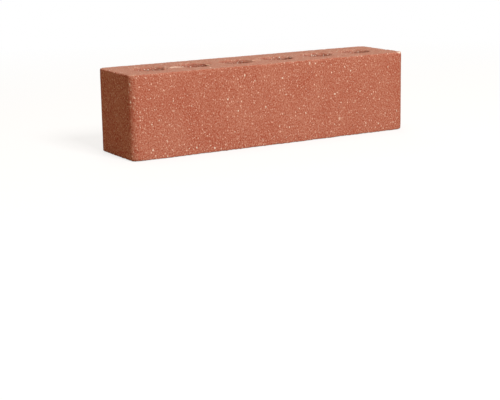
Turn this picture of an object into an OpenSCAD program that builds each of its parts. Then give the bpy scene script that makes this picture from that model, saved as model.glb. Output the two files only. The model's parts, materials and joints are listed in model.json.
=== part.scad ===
// Perforated facing brick, wire-cut from an extruded column of clay and fired.
// It lies on its lower bed face. X runs along the wall, Y from the face that shows
// to the back, and Z up. The origin is in the middle of the lower bed face.

/* [Block] */
// Length of the brick along the wall
brick_length = 250; // [200:1:300]
// Depth of the brick from the face that shows to the back
brick_width = 60; // [50:1:120]
// Height from the lower bed face to the upper one
brick_height = 65; // [40:1:140]

/* [Arrises] */
// Radius that the mouth of the die gives the four upright arrises
upright_arris_radius = 6; // [1:0.5:10]
// Rounding of the arrises around each bed face, where the wire cut the clay
bed_arris_radius = 0.8; // [0.2:0.1:0.9]

/* [Perforations] */
// Diameter of each round hole, which runs through from bed to bed
hole_diameter = 25; // [12:1:32]
// Thickness of clay from an end face to the hole nearest to it
end_wall = 17.5; // [12:0.5:30]
// Least thickness of clay from one hole to the next
least_web = 12; // [8:0.5:25]

/* [Hidden] */
$fn = 96;

// Room for the row of holes, between the two end walls
row_length = brick_length - 2 * end_wall;
hole_count = floor((row_length + least_web) / (hole_diameter + least_web));
// The holes share the row out evenly, so the outermost two stand on the end walls
hole_pitch = hole_count > 1 ? (row_length - hole_diameter) / (hole_count - 1) : 0;
first_hole_x = -(hole_count - 1) / 2 * hole_pitch;

// Centres of the upright arrises, seen from above
arris_x = brick_length / 2 - upright_arris_radius;
arris_y = brick_width / 2 - upright_arris_radius;

// How far a hole's cutter runs past both bed faces
cutter_overrun = 1;

fired_clay = "#BC735B";

// Upright section of the block, centred on X = 0 and standing on Y = 0, with the
// two lower and two upper corners rounded
module upright_section(width) {
    reach = width / 2 - bed_arris_radius;
    translate([-reach, 0]) square([2 * reach, brick_height]);
    translate([-width / 2, bed_arris_radius]) square([width, brick_height - 2 * bed_arris_radius]);
    for (side = [-1, 1], level = [bed_arris_radius, brick_height - bed_arris_radius])
        translate([side * reach, level]) circle(bed_arris_radius);
}

// The section drawn out along X, short of the end faces by the upright arris
module lengthwise_slab() {
    translate([-arris_x, 0, 0])
        rotate([90, 0, 90])
            linear_extrude(2 * arris_x) upright_section(brick_width);
}

// The section drawn out along Y, short of the face and the back by the same
module crosswise_slab() {
    translate([0, arris_y, 0])
        rotate([90, 0, 0])
            linear_extrude(2 * arris_y) upright_section(brick_length);
}

// One round corner post, turned from half of the section
module corner_post() {
    rotate_extrude()
        intersection() {
            upright_section(2 * upright_arris_radius);
            square([upright_arris_radius, brick_height]);
        }
}

module block() {
    lengthwise_slab();
    crosswise_slab();
    for (x = [-arris_x, arris_x], y = [-arris_y, arris_y])
        translate([x, y, 0]) corner_post();
}

module perforations() {
    for (index = [0 : hole_count - 1])
        translate([first_hole_x + index * hole_pitch, 0, -cutter_overrun])
            cylinder(d = hole_diameter, h = brick_height + 2 * cutter_overrun);
}

module brick() {
    color(fired_clay)
        difference() {
            block();
            perforations();
        }
}

brick();
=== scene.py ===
# %% [markdown]
# # Dressing a perforated facing brick
#
# A facing brick starts as a column of wet clay. An extruder pushes it through a
# steel die, rods in the mouth of the die leave the perforations, and a taut wire
# cuts the column into bricks before they are dried and fired. Three kinds of
# surface come out of that. The die gives the face, the back and the two ends a
# fine sandy skin. The wire gives both bed faces a smoother, paler cut. The rods
# tear the walls of the holes.
#
# The size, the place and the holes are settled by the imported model, which is
# loaded here as a fixed frame. Blender works in metres, and this script names its
# own lengths in millimetres.

# %% The frame
import json
import math
from collections import namedtuple

import bmesh
import bpy
from mathutils import Matrix, Vector, noise
from mathutils.bvhtree import BVHTree


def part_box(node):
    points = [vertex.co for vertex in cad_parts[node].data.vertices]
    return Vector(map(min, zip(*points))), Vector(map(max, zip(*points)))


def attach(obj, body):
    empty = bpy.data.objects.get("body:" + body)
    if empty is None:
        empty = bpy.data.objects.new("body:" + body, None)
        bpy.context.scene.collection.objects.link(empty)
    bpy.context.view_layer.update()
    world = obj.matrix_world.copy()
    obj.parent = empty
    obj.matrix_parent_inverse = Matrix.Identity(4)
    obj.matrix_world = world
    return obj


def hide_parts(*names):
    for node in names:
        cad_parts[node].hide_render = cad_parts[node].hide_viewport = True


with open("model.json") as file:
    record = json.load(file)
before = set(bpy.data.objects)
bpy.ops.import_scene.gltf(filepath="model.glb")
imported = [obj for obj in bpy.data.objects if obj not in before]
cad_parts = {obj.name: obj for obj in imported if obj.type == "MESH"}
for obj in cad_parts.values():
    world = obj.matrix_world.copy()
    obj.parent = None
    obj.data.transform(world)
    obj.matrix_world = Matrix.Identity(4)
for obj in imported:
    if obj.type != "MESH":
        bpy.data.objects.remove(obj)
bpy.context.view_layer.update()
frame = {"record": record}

MM = 0.001
low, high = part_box("brick")
print("brick, mm:", [round(side / MM, 1) for side in high - low])

# %% [markdown]
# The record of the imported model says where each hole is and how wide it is, so
# the script reads that instead of repeating the numbers.

# %% The holes
holes = [mount for mount in frame["record"]["mounts"] if mount["kind"] == "bore"]
hole_centres = [Vector(hole["pos_m"]) for hole in holes]
hole_radius = holes[0]["dims"]["r_mm"] * MM
print("holes:", len(holes), "with a radius of", hole_radius / MM, "mm")

# %% [markdown]
# ## The camera
#
# The camera is made first, because everything else is judged through it. Its place
# and its turn were fitted to the straight edges of the brick in the photograph. It
# stands to the left of the brick's middle and a little above it. A long lens keeps
# the brick's edges nearly parallel. The whole frame is wider than the brick, which
# sits in its upper half.

# %% Camera
FRAME_WIDTH_PX = 500
FOCAL_LENGTH_PX = 1279.7
SENSOR_WIDTH_MM = 36
CAMERA_PLACE_MM = Vector((-521.5, -878.9, 183.6))
CAMERA_AZIMUTH = math.radians(30.3)
CAMERA_ELEVATION = math.radians(-12.89)
CAMERA_ROLL = math.radians(-1.0)

camera_data = bpy.data.cameras.new("camera")
camera_data.sensor_width = SENSOR_WIDTH_MM
camera_data.lens = SENSOR_WIDTH_MM * FOCAL_LENGTH_PX / FRAME_WIDTH_PX
camera = bpy.data.objects.new("camera", camera_data)
turn = Matrix.Rotation(-CAMERA_AZIMUTH, 4, "Z")
tilt = Matrix.Rotation(math.pi / 2 + CAMERA_ELEVATION, 4, "X")
roll = Matrix.Rotation(CAMERA_ROLL, 4, "Z")
camera.matrix_world = Matrix.Translation(CAMERA_PLACE_MM * MM) @ turn @ tilt @ roll
bpy.context.collection.objects.link(camera)
bpy.context.scene.camera = camera
print("lens, mm:", round(camera_data.lens, 1))

# %% [markdown]
# ## The block
#
# The block is modelled the way the works makes it. The plan of a bed face is the
# mouth of the die: a rectangle with rounded corners, and a circle for each rod.
# Pushing that plan upwards is the extrusion. Cutting the holes out of a cube with
# booleans would give the same shape, but a filled plan leaves each rim as a plain
# loop of edges, which a bevel can follow. The wire leaves a crisp arris, so only a
# narrow bevel goes around each bed face. The rims of the holes crumble sooner, so
# theirs is wider.

# %% Plan of the bed face
UPRIGHT_ARRIS_MM = 6
ARRIS_SEGMENTS = 12
HOLE_SEGMENTS = 96

block = bmesh.new()
corner_places = ((low.x, low.y), (high.x, low.y), (high.x, high.y), (low.x, high.y))
corners = [block.verts.new((x, y, low.z)) for x, y in corner_places]
block.faces.new(corners)
bmesh.ops.bevel(
    block, geom=corners, affect="VERTICES", offset_type="OFFSET", profile=0.5, material=-1,
    offset=UPRIGHT_ARRIS_MM * MM, segments=ARRIS_SEGMENTS,
)
bmesh.ops.delete(block, geom=block.faces[:], context="FACES_ONLY")
for centre in hole_centres:
    on_the_bed = Matrix.Translation((centre.x, centre.y, low.z))
    bmesh.ops.create_circle(
        block, cap_ends=False, segments=HOLE_SEGMENTS, radius=hole_radius, matrix=on_the_bed,
    )
bmesh.ops.triangle_fill(block, edges=block.edges[:], use_beauty=True)
plan_area = sum(face.calc_area() for face in block.faces)
print("area of the bed face, mm2:", round(plan_area / MM**2))

# %% The plan pushed up into a block
pushed = bmesh.ops.extrude_face_region(block, geom=block.faces[:])
upper_corners = [part for part in pushed["geom"] if isinstance(part, bmesh.types.BMVert)]
bmesh.ops.translate(block, verts=upper_corners, vec=(0, 0, high.z - low.z))
bmesh.ops.recalc_face_normals(block, faces=block.faces[:])
print("volume, mm3:", round(block.calc_volume() / MM**3))

# %% Rounding of the arrises and the rims
BED_ARRIS_MM = 0.8
RIM_ROUND_MM = 1.9
ROUND_SEGMENTS = 4
SHARP = math.radians(60)
# An edge nearer than this to a hole's wall belongs to the rim of the hole
RIM_MARGIN_MM = 1


def distance_to_hole_wall(place):
    """Returns how far a point is from the nearest hole's wall, in metres."""
    return min(abs((place - centre).to_2d().length - hole_radius) for centre in hole_centres)


def sharp_level_edges(at_a_hole):
    """Lists the sharp edges of the bed faces, either those at a hole or all others."""
    return [
        edge for edge in block.edges
        if edge.verts[0].co.z == edge.verts[1].co.z and edge.calc_face_angle() > SHARP
        and (distance_to_hole_wall(edge.verts[0].co) < RIM_MARGIN_MM * MM) == at_a_hole
    ]


def round_edges(edges, radius_mm):
    """Rounds edges of the block to a radius."""
    bmesh.ops.bevel(
        block, geom=edges, affect="EDGES", offset_type="OFFSET", profile=0.5, material=-1,
        offset=radius_mm * MM, segments=ROUND_SEGMENTS,
    )
    print("volume, mm3:", round(block.calc_volume() / MM**3))


round_edges(sharp_level_edges(at_a_hole=True), RIM_ROUND_MM)
round_edges(sharp_level_edges(at_a_hole=False), BED_ARRIS_MM)

# %% [markdown]
# ## An even skin to carve
#
# The faces of the block are long and thin, which is right for a crisp shape and
# wrong for carving, and they stay so when they are subdivided. A voxel remesh
# wraps the block in an even skin of small squares instead, about as wide as a
# coarse grain of sand. The remesh rounds what is narrower than a voxel, so each
# vertex is pressed back to the nearest point of the crisp block before anything is
# carved.

# %% Even skin
VOXEL_MM = 1.15

crisp_block = BVHTree.FromBMesh(block)
block_mesh = bpy.data.meshes.new("block")
block.to_mesh(block_mesh)
block.free()
block_object = bpy.data.objects.new("block", block_mesh)
bpy.context.collection.objects.link(block_object)
even_skin = block_object.modifiers.new("even_skin", "REMESH")
even_skin.mode = "VOXEL"
even_skin.voxel_size = VOXEL_MM * MM
evaluated_block = block_object.evaluated_get(bpy.context.evaluated_depsgraph_get())
skin_mesh = bpy.data.meshes.new_from_object(evaluated_block)
bpy.data.objects.remove(block_object)
skin = bmesh.new()
skin.from_mesh(skin_mesh)
print("squares in the even skin:", len(skin.faces))

# %% [markdown]
# ## Marks of this very brick
#
# Some marks are large enough to know the brick by: a smear of clay between the
# first two holes, a torn pocket in a rim, a few crumbs, a rubbed corner, a chipped
# one, and two large grains in the face. The pale torn clay on the rubbed corner is a
# painted highlight. They could be sculpted by hand, but a table is easier to read
# and to change. Each mark is an ellipsoid with a place, a reach along X, Y and Z, a
# depth, and a share of torn clay and of cream grain to show. A depth below zero
# carves less than around the mark.

# %% Marks
Mark = namedtuple("Mark", "middle_mm reach_mm depth_mm torn cream")
MARKS = (
    # Smear between the first two holes, and its tail
    Mark((-75.5, -3.5, 65), (6.5, 3.4, 1.5), -0.2, 1.0, 0.5),
    Mark((-70, -6, 65), (4, 2.6, 1.5), -0.2, 1.0, 0.4),
    # Pocket torn out of the first hole's rim
    Mark((-81, -1.5, 65), (3.2, 2.6, 3), 1.5, 0.3, 0.0),
    # Crumb at the second hole's rim
    Mark((-45, -1.5, 63.6), (2.2, 4.5, 2.2), -0.2, 1.0, 0.2),
    # Line of crumbs between the third hole and the fourth
    Mark((-2, -3, 65), (7, 2.2, 1.5), -0.1, 0.8, 0.1),
    # Rubbed corner at the near end of the face; its pale torn clay is a painted highlight
    Mark((-121, -27, 65), (4.5, 3, 2), 0.2, 0.3, 0.0),
    # Chipped corner at the far end of the face
    Mark((122, -28.5, 65), (4.2, 3.6, 2), 0.6, 0.5, 0.9),
    # Long grain high in the face
    Mark((32, -30, 62.3), (0.6, 1.0, 1.5), -0.1, 0.0, 0.9),
    # Round grain low in the face
    Mark((60, -30, 15), (1.1, 1.0, 1.1), -0.1, 0.6, 0.4),
)


def distance_to_mark(place, mark):
    """Returns how far a point is from the middle of a mark, where 1 is the mark's outline."""
    sides = zip(place, mark.middle_mm, mark.reach_mm)
    return Vector((at / MM - middle) / reach for at, middle, reach in sides).length


print("marks:", len(MARKS))

# %% [markdown]
# The arrises and the rims are where a brick wears. The next functions say how far
# a point is from each of them. The squares near an arris, a rim or a mark are cut
# once more, so that their wear is carved finer than the rest.


# %% Where the brick wears
def distance_to_bed(place):
    """Returns how far a point is from the nearer bed plane, in metres."""
    return min(place.z - low.z, high.z - place.z)


def distance_to_end(place):
    """Returns how far a point is from the nearer end face, in metres."""
    return min(place.x - low.x, high.x - place.x)


def distance_to_face(place):
    """Returns how far a point is from the face or the back, in metres."""
    return min(place.y - low.y, high.y - place.y)


def distance_to_sides(place):
    """Returns how far a point is inside the rounded outline of the plan, in metres."""
    radius = UPRIGHT_ARRIS_MM * MM
    past_end = radius - distance_to_end(place)
    past_face = radius - distance_to_face(place)
    if min(past_end, past_face) > 0:
        return radius - math.hypot(past_end, past_face)
    return radius - max(past_end, past_face)


def distance_to_arris(place):
    """Returns how far a point of the surface is from the nearest wire-cut arris."""
    return max(distance_to_bed(place), distance_to_sides(place))


def distance_to_upright(place):
    """Returns how far a point of the surface is from the crown of an upright arris."""
    crown = UPRIGHT_ARRIS_MM * MM * (1 - math.sqrt(0.5))
    return max(0.0, max(distance_to_end(place), distance_to_face(place)) - crown)


def distance_to_rim(place):
    """Returns how far a point of the surface is from the nearest rim of a hole."""
    return max(distance_to_bed(place), distance_to_hole_wall(place))


above_face = Vector((0, low.y, high.z))
print("from the front arris to a rim, mm:", round(distance_to_rim(above_face) / MM, 1))

# %% Finer squares where the wear goes
FINE_BAND_MM = 1.7
# A mark's outline is at 1, and its finer squares start a little outside it
FINE_AROUND_MARK = 1.3


def needs_detail(place):
    """Says whether a point is near an arris, a rim or a mark."""
    if min(distance_to_arris(place), distance_to_rim(place)) < FINE_BAND_MM * MM:
        return True
    return any(distance_to_mark(place, mark) < FINE_AROUND_MARK for mark in MARKS)


detailed_edges = [
    edge for edge in skin.edges if all(needs_detail(vertex.co) for vertex in edge.verts)
]
bmesh.ops.subdivide_edges(skin, edges=detailed_edges, cuts=1, use_grid_fill=True)
for vertex in skin.verts:
    vertex.co = crisp_block.find_nearest(vertex.co)[0]
skin.normal_update()
print("triangles in the skin:", sum(len(face.verts) - 2 for face in skin.faces))

# %% [markdown]
# ## The relief of the clay
#
# A bump in the material alone would leave the outline of the brick ruler-straight,
# so the larger relief is real. It is a depth under the crisp block, and the brick
# never grows past its size. Each kind of surface has its own recipe of smooth
# noise, from the long waves that drying leaves to the grains that a finger feels.
# Noise in Blender's mathutils gives the same value for the same point, so the
# brick comes out the same on every run.

# %% Noise of a chosen length
# Each seed looks at another part of the same noise
SEED_STEP = Vector((17.3, 41.9, 7.7))


def waves(place, length_mm, seed, stretch=(1, 1, 1)):
    """Returns smooth noise from -1 to 1 whose lumps are about length_mm across."""
    scaled = Vector(component / factor for component, factor in zip(place, stretch))
    return noise.noise(scaled / (length_mm * MM) + seed * SEED_STEP)


def fade(distance, reach_mm):
    """Returns 1 at a distance of zero, and falls smoothly to 0 at reach_mm."""
    nearness = max(0.0, 1 - distance / (reach_mm * MM))
    return nearness * nearness * (3 - 2 * nearness)


def clamped(value):
    """Returns a value held between 0 and 1."""
    return min(max(value, 0.0), 1.0)


print("noise at the origin:", round(waves(Vector(), 10, 1), 3))

# %% Waves of the three kinds of surface
EVEN = (1, 1, 1)
DRAWN_BY_DIE = (1, 1, 1.6)
DRAWN_BY_WIRE = (4, 1, 1)
DRAWN_BY_ROD = (1, 1, 4)
# Mean depth of each kind of surface, in mm
DIE_SKIN_MM = 0.22
WIRE_CUT_MM = 0.26
HOLE_WALL_MM = 0.30
# Each wave: height in mm, length in mm, seed, stretch along X, Y and Z
SWELL_OF_DIE_SKIN = ((0.10, 45, 1, EVEN),)
SAND_OF_DIE_SKIN = (
    (0.05, 11, 2, EVEN),
    (0.10, 3.1, 3, DRAWN_BY_DIE),
    (0.07, 1.9, 4, DRAWN_BY_DIE),
)
SWELL_OF_WIRE_CUT = ((0.06, 38, 5, EVEN),)
DRAG_OF_WIRE_CUT = (
    (0.16, 3.0, 6, DRAWN_BY_WIRE),
    (0.22, 2.4, 7, EVEN),
)
TEARS_OF_HOLE_WALL = (
    (0.20, 5, 8, DRAWN_BY_ROD),
    (0.25, 2.6, 9, EVEN),
    (0.30, 1.6, 10, EVEN),
)


def with_waves(depth_mm, place, rows):
    """Returns a depth in millimetres with waves laid over it."""
    heights = (row[0] * waves(place, *row[1:]) for row in rows)
    return sum(heights, start=depth_mm)


deepest_tear_mm = HOLE_WALL_MM + sum(row[0] for row in TEARS_OF_HOLE_WALL)
print("a hole's wall is torn at most, mm:", round(deepest_tear_mm, 2))

# %% Relief of the three kinds of surface
# Close to an upright arris, the back or a rim, a share of the relief is held back
CALM_SHARE = 0.7
CALM_SHARE_AT_RIM = 0.4
CALM_AT_UPRIGHT_MM = 5
CALM_AT_BACK_MM = 4
CALM_AT_RIM_MM = 6


def kept_at_back(place):
    """Returns the share of the relief that is left near the back, whose arris is straight."""
    return 1 - CALM_SHARE * fade(high.y - place.y, CALM_AT_BACK_MM)


def die_skin_relief(place):
    """Returns the depth in millimetres of the sandy skin that the die leaves."""
    kept = 1 - CALM_SHARE * fade(distance_to_upright(place), CALM_AT_UPRIGHT_MM)
    swell = with_waves(DIE_SKIN_MM, place, SWELL_OF_DIE_SKIN)
    return swell + kept * with_waves(0, place, SAND_OF_DIE_SKIN)


def wire_cut_relief(place):
    """Returns the depth in millimetres of a bed face, with the wire's drag lines."""
    swell = with_waves(WIRE_CUT_MM, place, SWELL_OF_WIRE_CUT)
    return swell + kept_at_back(place) * with_waves(0, place, DRAG_OF_WIRE_CUT)


def hole_wall_relief(place):
    """Returns the depth in millimetres of a hole's wall, torn along the rod."""
    kept = 1 - CALM_SHARE_AT_RIM * fade(distance_to_bed(place), CALM_AT_RIM_MM)
    return kept * with_waves(HOLE_WALL_MM, place, TEARS_OF_HOLE_WALL)


face_middle = Vector((0, low.y, high.z / 2))
print("relief in the middle of the face, mm:", round(die_skin_relief(face_middle), 2))

# %% [markdown]
# Wear takes clay off where two surfaces meet. A wire-cut arris is nicked, an
# upright one is hardly touched, a corner takes the knocks, and a rim crumbles
# where the rod tore it. Each kind fades out at its own reach.

# %% Wear of the arrises, the corners and the rims
ARRIS_REACH_MM = 1.6
ARRIS_LOSS_MM = 0.12
NICKS_START_AT = 0.12
CRUMBS_MM = 0.4
UPRIGHT_REACH_MM = 3
UPRIGHT_LOSS_MM = 0.15
CORNER_REACH_MM = 5
CORNER_LOSS_MM = 0.8
RIM_REACH_DOWN_MM = 3.0
RIM_REACH_ON_BED_MM = 1.8
RIM_LOSS_MM = 0.2


def arris_wear(place):
    """Returns how many millimetres a wire-cut arris has lost to rubbing and small nicks."""
    nick = kept_at_back(place) * max(0.0, waves(place, 5, 11) - NICKS_START_AT)
    crumb = kept_at_back(place) * waves(place, 1.9, 12)
    loss = max(0.0, ARRIS_LOSS_MM + nick + CRUMBS_MM * crumb)
    return fade(distance_to_arris(place), ARRIS_REACH_MM) * loss


def upright_wear(place):
    """Returns how many millimetres an upright arris has lost, which is little."""
    near = fade(distance_to_upright(place), UPRIGHT_REACH_MM)
    return near * UPRIGHT_LOSS_MM * max(0.0, waves(place, 3.5, 17))


def corner_wear(place):
    """Returns how many millimetres a corner has lost to knocks."""
    to_corner = Vector((distance_to_bed(place), distance_to_end(place), distance_to_face(place)))
    return fade(to_corner.length, CORNER_REACH_MM) * (CORNER_LOSS_MM + waves(place, 3.5, 16))


def rim_wear(place):
    """Returns how many millimetres the rim of a hole has lost where the rod tore it."""
    down_the_wall = distance_to_bed(place) > distance_to_hole_wall(place)
    reach_mm = RIM_REACH_DOWN_MM if down_the_wall else RIM_REACH_ON_BED_MM
    return fade(distance_to_rim(place), reach_mm) * max(0.0, RIM_LOSS_MM + waves(place, 2.2, 13))


top_corner = Vector((low.x, low.y, high.z))
print("wear of a corner, mm:", round(corner_wear(top_corner), 2))

# %% Marks with ragged outlines
RAGGED_SHARE = 0.5
RAGGED_MM = 1.7
STEEPNESS = 1.8
# Here a mark has faded out, however ragged it is
MARK_ENDS_AT = 2


def marked(place, column):
    """Returns a column of the table of marks at a point, faded to each ragged outline."""
    ragged = RAGGED_SHARE * waves(place, RAGGED_MM, 14)
    return sum(
        getattr(mark, column) * clamped(STEEPNESS * (1 - distance_to_mark(place, mark) + ragged))
        for mark in MARKS if distance_to_mark(place, mark) < MARK_ENDS_AT
    )


smear_middle = Vector(MARKS[0].middle_mm) * MM
print("torn share in the middle of the smear:", round(marked(smear_middle, "torn"), 2))

# %% Carving the skin
# A vertex whose normal points further up or down than this counts as wire-cut
FLAT = 0.75
HOLE_WALL_BAND_MM = 2 * RIM_ROUND_MM
DEEPEST_MM = 2.0
TORN_PER_MM = 0.3
RELIEF = {"die_skin": die_skin_relief, "wire_cut": wire_cut_relief, "hole_wall": hole_wall_relief}


def finish_of(vertex):
    """Names the kind of surface that a vertex is on."""
    if abs(vertex.normal.z) > FLAT:
        return "wire_cut"
    if distance_to_hole_wall(vertex.co) < HOLE_WALL_BAND_MM * MM:
        return "hole_wall"
    return "die_skin"


depths = []
torn_and_highlight_shares = []
cream_shares = []
for vertex in skin.verts:
    place = vertex.co
    tearing = arris_wear(place) + rim_wear(place)
    rubbing = upright_wear(place) + corner_wear(place)
    relief = RELIEF[finish_of(vertex)](place)
    depth = relief + tearing + rubbing + marked(place, "depth_mm")
    depths.append(min(max(depth, 0.0), DEEPEST_MM))
    # Share of torn clay; on the rubbed corner it is a painted highlight
    torn_and_highlight_shares.append(clamped(TORN_PER_MM * tearing + marked(place, "torn")))
    cream_shares.append(clamped(marked(place, "cream")))
print("mean depth carved away, mm:", round(sum(depths) / len(depths), 3))
print("mean share of torn clay:", round(sum(torn_and_highlight_shares) / len(torn_and_highlight_shares), 3))

# %% Faces sorted by finish
FINISHES = list(RELIEF)
for face in skin.faces:
    votes = [finish_of(vertex) for vertex in face.verts]
    face.material_index = FINISHES.index(max(FINISHES, key=votes.count))
    face.smooth = True
for vertex, depth in zip(skin.verts, depths):
    vertex.co -= vertex.normal * depth * MM

# The torn layer holds torn clay, and on the rubbed corner a painted highlight
torn = skin.verts.layers.float.new("torn")
cream = skin.verts.layers.float.new("cream")
for vertex, torn_and_highlight_share, cream_share in zip(skin.verts, torn_and_highlight_shares, cream_shares):
    vertex[torn] = torn_and_highlight_share
    vertex[cream] = cream_share
brick_mesh = bpy.data.meshes.new("fired_brick")
skin.to_mesh(brick_mesh)
skin.free()
brick = bpy.data.objects.new("fired_brick", brick_mesh)
bpy.context.collection.objects.link(brick)
for index, finish in enumerate(FINISHES):
    print(finish, "faces:", sum(face.material_index == index for face in brick_mesh.polygons))

# %% [markdown]
# ## Fired clay
#
# The body is red-burning clay with grog, which is old brick ground to grit, and
# pale grains of sand and chamotte. It is matt, so its roughness is high and its
# specular level low, and its IOR is that of a silicate, about 1.5. A photograph of
# clay wrapped around the brick would bring its own light along and stretch down
# the holes, so the clay is built from noise and cells in real millimetres. The
# colour of every finish comes from the same clay. What differs is how much of the
# grit shows: the die drags it to the surface, the wire wipes a thin paler slip
# over it, and the rods tear it open.

# %% Colours and the node helper
def linear(hex_colour):
    """Turns an sRGB hex colour into the linear RGBA that Blender's nodes read."""
    channels = [int(hex_colour[start:start + 2], 16) / 255 for start in (1, 3, 5)]
    straight = [c / 12.92 if c <= 0.04045 else ((c + 0.055) / 1.055) ** 2.4 for c in channels]
    return (*straight, 1.0)


def add_node(tree, kind, inputs=None, **settings):
    """Adds a node. Each input is a value, or the output of another node to link."""
    made = tree.nodes.new(kind)
    for name, value in settings.items():
        setattr(made, name, value)
    for key, value in (inputs or {}).items():
        if isinstance(value, bpy.types.NodeSocket):
            tree.links.new(value, made.inputs[key])
        else:
            made.inputs[key].default_value = value
    return made


print("linear colour of a middle grey:", round(linear("#808080")[0], 3))

# %% Colours and gloss of the clay
CLAY_DEEP = linear("#9F4B38")
CLAY_PALE = linear("#C18672")
CREAM = linear("#F4E4D6")
PINK = linear("#E8BFAE")
PORE = linear("#6E3324")
# Pale inside of the torn clay; on the rubbed corner it is a painted highlight
TORN_CLAY_AND_HIGHLIGHT = linear("#E2AE94")
SLIP = linear("#B48E7C")
SMOOTHEST_CLAY = 0.78
ROUGHEST_CLAY = 0.92
GRAIN_ROUGHNESS = 0.6
CLAY_IOR = 1.5
CLAY_SPECULAR = 0.05
print("linear colour of the deep clay:", [round(channel, 3) for channel in CLAY_DEEP[:3]])

# %% [markdown]
# Grog is sieved into grades. Each grade is a Voronoi pattern with cells as wide as
# the grains lie apart. Every cell draws a chance, which decides whether a grain
# sits there and how large it is, so no two neighbours look alike. Noise cut off at
# a level would give blots instead, with no size of their own. Because the pattern
# fills space, the surface slices the grains as a cut through real clay does. Dark
# pores are one more grade, with a colour and a height of their own.

# %% Grades of grit
# Each grade: cell and largest radius in mm, share of cells filled, colour, show, height in mm
GRADES = (
    (1.2, 0.50, 0.80, PINK, 0.70, 0.06),
    (2.0, 0.66, 0.60, PINK, 0.85, 0.10),
    (3.1, 0.72, 0.50, CREAM, 0.80, 0.12),
    (1.7, 0.55, 0.30, PORE, 0.45, -0.12),
)
# Crumbs that only the torn walls of the holes have, in the same columns
CRUMBS = (
    (1.6, 0.68, 0.90, CREAM, 0.60, 0.08),
)
GRAIN_EDGE_MM = 0.25


def grit(tree, place, cell_mm, radius_mm, share):
    """Returns the mask of the grains of one grade: share of the cells hold a grain."""
    cells = add_node(tree, "ShaderNodeTexVoronoi", {"Vector": place, "Scale": 1 / cell_mm})
    chance = add_node(tree, "ShaderNodeSeparateColor", {"Color": cells.outputs["Color"]})
    radius = add_node(
        tree, "ShaderNodeMapRange",
        {"Value": chance.outputs["Red"], "From Min": 1 - share, "To Max": radius_mm / cell_mm},
    )
    depth_inside = add_node(
        tree, "ShaderNodeMath", {0: radius.outputs[0], 1: cells.outputs["Distance"]},
        operation="SUBTRACT",
    )
    mask = add_node(
        tree, "ShaderNodeMapRange",
        {"Value": depth_inside.outputs[0], "From Max": GRAIN_EDGE_MM / cell_mm},
    )
    return mask.outputs[0]


print("grades of grit:", len(GRADES), "and", len(CRUMBS), "of crumbs")

# %% [markdown]
# The layers of the clay follow its making. Red and pale clay are blended in clouds
# and sand. Most real sand is finer than it is drawn here, but finer sand would not
# show from the camera. Where the carving tore the surface, the paler inside shows,
# and the same pale clay is painted on the rubbed corner as a highlight.
# Then come the grains, over them the wire's slip in patches, and last the cream of
# the large grains. The sand and the grains also set a height, which the bump turns
# into fine relief. A grain of quartz is smoother than the clay around it, so the
# roughness falls where one shows.

# %% Clouds, sand and slip
# Each noise: length of a lump in mm, and levels of detail
CLAY_NOISES = {"clouds": (22, 3), "sand": (0.9, 1), "slip": (2.5, 2)}
CLOUD_SHARE = 0.18
PALE_FROM = 0.34
PALE_TO = 0.66
SLIP_FROM = 0.2
SLIP_TO = 0.8


def clay_body(tree, place):
    """Returns the noises of the clay, from 0 to 1, and how pale its clouds and sand make it."""
    noises = {
        name: add_node(
            tree, "ShaderNodeTexNoise",
            {"Vector": place, "Scale": 1 / length_mm, "Detail": detail},
        ).outputs[0]
        for name, (length_mm, detail) in CLAY_NOISES.items()
    }
    blend = add_node(
        tree, "ShaderNodeMix", {0: CLOUD_SHARE, 2: noises["sand"], 3: noises["clouds"]},
    ).outputs[0]
    pale_here = add_node(
        tree, "ShaderNodeMapRange", {"Value": blend, "From Min": PALE_FROM, "From Max": PALE_TO},
    ).outputs[0]
    return noises, pale_here


def slip_cover(tree, noises, slip_share, torn_and_highlight_here):
    """Returns how much slip lies on the clay: patches, thinned where the clay is torn."""
    # The patches cover half of their most on average, so the most is twice the share
    patches = add_node(
        tree, "ShaderNodeMapRange",
        {
            "Value": noises["slip"], "From Min": SLIP_FROM, "From Max": SLIP_TO,
            "To Max": 2 * slip_share,
        },
    ).outputs[0]
    untorn = add_node(
        tree, "ShaderNodeMath", {0: 1.0, 1: torn_and_highlight_here}, operation="SUBTRACT", use_clamp=True,
    ).outputs[0]
    return add_node(
        tree, "ShaderNodeMath", {0: patches, 1: untorn}, operation="MULTIPLY",
    ).outputs[0]


print("noises of the clay:", list(CLAY_NOISES))


# %% Grains on the clay
def add_grains(tree, place, grades, grit_show, height, roughness):
    """Returns the grains' layers of colour, and the height and roughness with the grains."""
    layers = []
    for cell_mm, radius_mm, share, colour, show, grain_height_mm in grades:
        mask = grit(tree, place, cell_mm, radius_mm, share)
        shown = add_node(
            tree, "ShaderNodeMath", {0: mask, 1: show * grit_show}, operation="MULTIPLY",
        ).outputs[0]
        layers.append((shown, colour))
        height = add_node(
            tree, "ShaderNodeMath", {0: mask, 1: grain_height_mm * grit_show, 2: height},
            operation="MULTIPLY_ADD",
        ).outputs[0]
        if grain_height_mm > 0:
            roughness = add_node(
                tree, "ShaderNodeMix", {0: mask, 2: roughness, 3: GRAIN_ROUGHNESS},
            ).outputs[0]
    return layers, height, roughness


largest_mm = max(2 * radius_mm for _, radius_mm, *_ in GRADES + CRUMBS)
print("largest grain, mm across:", largest_mm)


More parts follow.
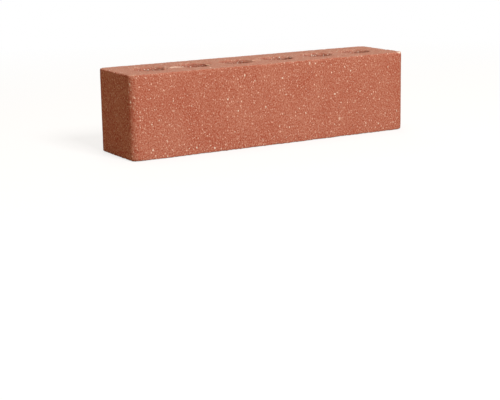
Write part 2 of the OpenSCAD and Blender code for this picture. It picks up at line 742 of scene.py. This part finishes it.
# %% The fired clay
def fired_clay(name, drag, slip_share, grit_show, sand_height_mm, crumbs=()):
    """Makes the fired clay of one finish, with its pattern drawn out by the drag."""
    material = bpy.data.materials.new(name)
    material.use_nodes = True
    tree = material.node_tree
    shader = tree.nodes["Principled BSDF"]
    shader.inputs["IOR"].default_value = CLAY_IOR
    shader.inputs["Specular IOR Level"].default_value = CLAY_SPECULAR
    coordinates = add_node(tree, "ShaderNodeTexCoord").outputs["Object"]
    to_mm = [1 / (MM * factor) for factor in drag]
    place = add_node(tree, "ShaderNodeMapping", {"Vector": coordinates, "Scale": to_mm}).outputs[0]
    noises, pale_here = clay_body(tree, place)
    # The torn attribute brings torn clay, and on the rubbed corner a painted highlight
    torn_and_highlight_here = add_node(tree, "ShaderNodeAttribute", attribute_name="torn").outputs["Fac"]
    cream_here = add_node(tree, "ShaderNodeAttribute", attribute_name="cream").outputs["Fac"]
    height = add_node(
        tree, "ShaderNodeMath", {0: noises["sand"], 1: sand_height_mm}, operation="MULTIPLY",
    ).outputs[0]
    roughness = add_node(
        tree, "ShaderNodeMapRange",
        {"Value": noises["sand"], "To Min": SMOOTHEST_CLAY, "To Max": ROUGHEST_CLAY},
    ).outputs[0]
    grains, height, roughness = add_grains(
        tree, place, GRADES + crumbs, grit_show, height, roughness,
    )
    layers = [
        (pale_here, CLAY_PALE),
        (torn_and_highlight_here, TORN_CLAY_AND_HIGHLIGHT),
        *grains,
        (slip_cover(tree, noises, slip_share, torn_and_highlight_here), SLIP),
        (cream_here, CREAM),
    ]
    colour = CLAY_DEEP
    for share_here, layer_colour in layers:
        colour = add_node(
            tree, "ShaderNodeMix", {0: share_here, 6: colour, 7: layer_colour}, data_type="RGBA",
        ).outputs[2]
    tree.links.new(colour, shader.inputs["Base Color"])
    tree.links.new(roughness, shader.inputs["Roughness"])
    bump = add_node(tree, "ShaderNodeBump", {"Strength": 1.0, "Distance": MM, "Height": height})
    tree.links.new(bump.outputs[0], shader.inputs["Normal"])
    return material


die_skin_clay = fired_clay(
    "die_skin_clay", drag=(1, 1, 1.3), slip_share=0.0, grit_show=1.1, sand_height_mm=0.22,
)
wire_cut_clay = fired_clay(
    "wire_cut_clay", drag=(1.6, 1, 1), slip_share=0.45, grit_show=1.5, sand_height_mm=0.70,
)
hole_wall_clay = fired_clay(
    "hole_wall_clay", drag=EVEN, slip_share=0.2, grit_show=1.7, sand_height_mm=0.45,
    crumbs=CRUMBS,
)
for material in (die_skin_clay, wire_cut_clay, hole_wall_clay):
    brick_mesh.materials.append(material)
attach(brick, "root")
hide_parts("brick")
print("materials:", [material.name for material in brick_mesh.materials])

# %% [markdown]
# ## Floor, light and background
#
# The brick is shown on white. More light would whiten the floor too, but it would
# bleach the clay. So only the rays that see the background get white paper and a
# white world, and the floor still takes the brick's shadow. All other rays get the
# tones of a plain room.


# %% Rays that see the background
def background_rays(tree):
    """Returns 1 for the rays that see the background: camera, glossy and transmission."""
    seen = add_node(tree, "ShaderNodeLightPath").outputs
    camera_or_glossy = add_node(
        tree, "ShaderNodeMath", {0: seen["Is Camera Ray"], 1: seen["Is Glossy Ray"]},
        operation="MAXIMUM",
    ).outputs[0]
    return add_node(
        tree, "ShaderNodeMath", {0: camera_or_glossy, 1: seen["Is Transmission Ray"]},
        operation="MAXIMUM",
    ).outputs[0]


WHITE = linear("#FFFFFF")
print("background:", WHITE)

# %% Floor
FLOOR_RADIUS_MM = 6000
FLOOR_SEGMENTS = 64
floor_shape = bmesh.new()
bmesh.ops.create_circle(
    floor_shape, cap_ends=True, segments=FLOOR_SEGMENTS, radius=FLOOR_RADIUS_MM * MM,
)
floor_mesh = bpy.data.meshes.new("floor")
floor_shape.to_mesh(floor_mesh)
floor_shape.free()
floor = bpy.data.objects.new("floor", floor_mesh)
bpy.context.collection.objects.link(floor)
print("floor, mm across:", 2 * FLOOR_RADIUS_MM)

# %% Paper of the floor
FLOOR_TONE = linear("#B2A183")
PAPER_ROUGHNESS = 0.9
# Near the brick the paper glows less, so that the shadow shows on it
GLOW_NEAR = 0.75
GLOW_NEAR_MM = 250
GLOW_FAR_MM = 800

paper = bpy.data.materials.new("floor_paper")
paper.use_nodes = True
tree = paper.node_tree
paper_shader = tree.nodes["Principled BSDF"]
paper_shader.inputs["Roughness"].default_value = PAPER_ROUGHNESS
paper_shader.inputs["Specular IOR Level"].default_value = 0.0
seen_paper = background_rays(tree)
paper_colour = add_node(
    tree, "ShaderNodeMix", {0: seen_paper, 6: FLOOR_TONE, 7: WHITE}, data_type="RGBA",
).outputs[2]
tree.links.new(paper_colour, paper_shader.inputs["Base Color"])
glow = add_node(tree, "ShaderNodeEmission", {"Color": WHITE, "Strength": 1.0}).outputs[0]
coordinates = add_node(tree, "ShaderNodeTexCoord").outputs["Object"]
from_brick = add_node(
    tree, "ShaderNodeVectorMath", {0: coordinates}, operation="LENGTH",
).outputs["Value"]
glow_here = add_node(
    tree, "ShaderNodeMapRange",
    {
        "Value": from_brick, "From Min": GLOW_NEAR_MM * MM, "From Max": GLOW_FAR_MM * MM,
        "To Min": GLOW_NEAR, "To Max": 1.0,
    },
).outputs[0]
glow_share = add_node(
    tree, "ShaderNodeMath", {0: seen_paper, 1: glow_here}, operation="MULTIPLY",
).outputs[0]
paper_mix = add_node(
    tree, "ShaderNodeMixShader", {0: glow_share, 1: paper_shader.outputs[0], 2: glow},
)
tree.links.new(paper_mix.outputs[0], tree.nodes["Material Output"].inputs["Surface"])
floor_mesh.materials.append(paper)
print("the paper is plain white from, mm:", GLOW_FAR_MM)

# %% World
WORLD_FILL = 0.32
ROOM_TONE = linear("#FFE2B4")
world = bpy.data.worlds.new("studio")
bpy.context.scene.world = world
world.use_nodes = True
tree = world.node_tree
seen_backdrop = background_rays(tree)
tone = add_node(
    tree, "ShaderNodeMix", {0: seen_backdrop, 6: ROOM_TONE, 7: WHITE}, data_type="RGBA",
).outputs[2]
strength = add_node(
    tree, "ShaderNodeMapRange", {"Value": seen_backdrop, "To Min": WORLD_FILL, "To Max": 1.0},
).outputs[0]
backdrop = tree.nodes["Background"]
tree.links.new(tone, backdrop.inputs["Color"])
tree.links.new(strength, backdrop.inputs["Strength"])
print("strength of the room's light:", WORLD_FILL)

# %% [markdown]
# The key lamp is large and stands high before the face, so the near end is left in
# shade. A weaker lamp overhead lights the bed face, and another the back. At a
# strength of 1, a surface that faces the lamp is lit about as brightly as by a white
# world of strength 1.

# %% Lamps
LAMP_DISTANCE_MM = 1800


def softbox(name, direction, width_mm, strength):
    """Adds a square area lamp aimed at the middle of the brick."""
    lamp_data = bpy.data.lights.new(name, "AREA")
    lamp_data.size = width_mm * MM
    lamp_data.energy = strength * math.pi**2 * (LAMP_DISTANCE_MM * MM) ** 2
    lamp = bpy.data.objects.new(name, lamp_data)
    middle = (low + high) / 2
    lamp.location = middle + Vector(direction).normalized() * LAMP_DISTANCE_MM * MM
    lamp.rotation_euler = (middle - lamp.location).to_track_quat("-Z", "Y").to_euler()
    bpy.context.collection.objects.link(lamp)
    print(name, "at, mm:", [round(c / MM) for c in lamp.location])


softbox("key", (0.03, -0.79, 0.61), 600, 0.92)
softbox("overhead", (0, 0.1, 1), 900, 0.22)
softbox("back_fill", (0.3, 0.9, 0.5), 1200, 0.2)

# %% Colour management
bpy.context.scene.view_settings.view_transform = "Standard"
print("view transform:", bpy.context.scene.view_settings.view_transform)
